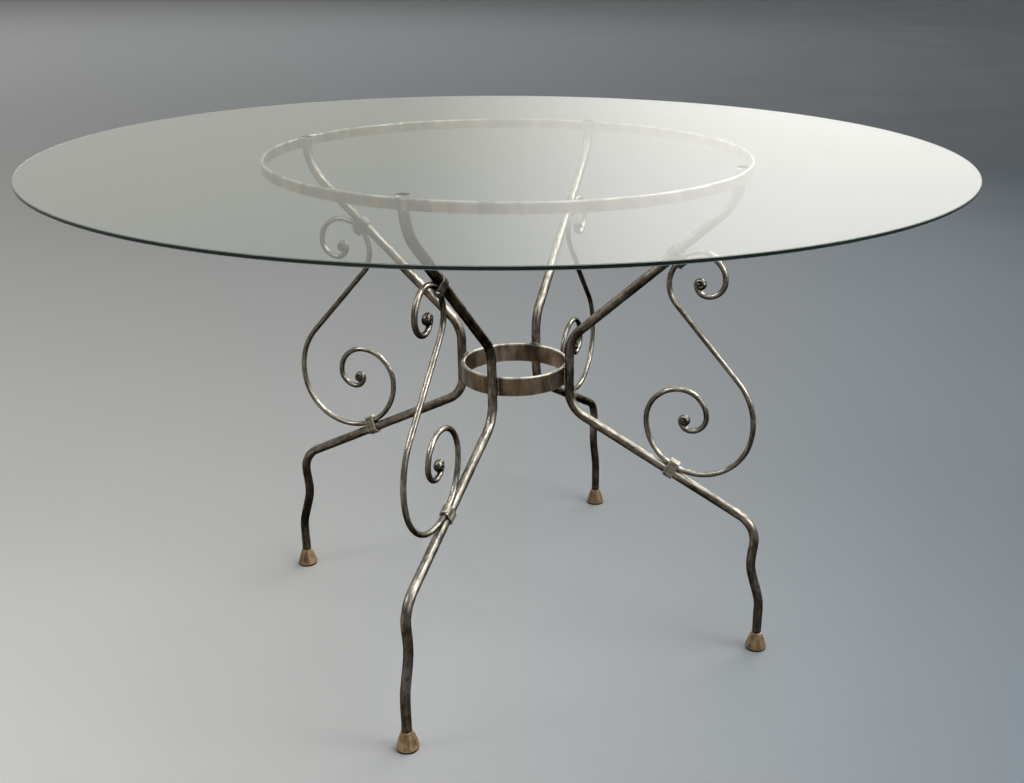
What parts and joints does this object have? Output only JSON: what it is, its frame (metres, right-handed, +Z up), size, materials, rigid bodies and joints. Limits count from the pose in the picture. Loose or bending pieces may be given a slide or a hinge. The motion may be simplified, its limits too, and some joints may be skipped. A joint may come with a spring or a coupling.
{
  "type": "round table",
  "caption": "Round dining table: a loose clear glass disc resting on a wrought-iron base of bent bar legs, scrolls, a waist ring and bell feet.",
  "frame": {"origin": "the floor, on the table's axis, midway between the feet", "axes": "+Z up along the axis of the rings and the glass; one leg stands over each of +X, +Y, -X and -Y"},
  "size_m": [1.2998, 1.3, 0.75],
  "materials": {
    "burnished_iron": "hand-hammered bar, dark brown-grey with rubbed lighter highlights",
    "bronze_feet": "satin bronze",
    "dark_sole": "matte",
    "clear_pad": "clear soft plastic",
    "clear_glass": "polished clear glass with a green edge"
  },
  "bodies": {
    "base": {"top_ring": "burnished_iron", "waist_ring": "burnished_iron", "leg_1": "burnished_iron", "leg_2": "burnished_iron", "leg_3": "burnished_iron", "leg_4": "burnished_iron", "scroll_1": "burnished_iron", "scroll_2": "burnished_iron", "scroll_3": "burnished_iron", "scroll_4": "burnished_iron", "upper_collar_1": "burnished_iron", "upper_collar_2": "burnished_iron", "upper_collar_3": "burnished_iron", "upper_collar_4": "burnished_iron", "lower_collar_1": "burnished_iron", "lower_collar_2": "burnished_iron", "lower_collar_3": "burnished_iron", "lower_collar_4": "burnished_iron", "foot_1": "bronze_feet", "foot_2": "bronze_feet", "foot_3": "bronze_feet", "foot_4": "bronze_feet", "sole_1": "dark_sole", "sole_2": "dark_sole", "sole_3": "dark_sole", "sole_4": "dark_sole", "glass_pad_1": "clear_pad", "glass_pad_2": "clear_pad", "glass_pad_3": "clear_pad", "glass_pad_4": "clear_pad"},
    "glass": {"glass_top": "clear_glass"}
  },
  "joints": [
    {"name": "glass_lift", "type": "slide", "parent": "base", "child": "glass", "axis": [0, 0, 1], "range_m": [0, 0.1]}
  ]
}
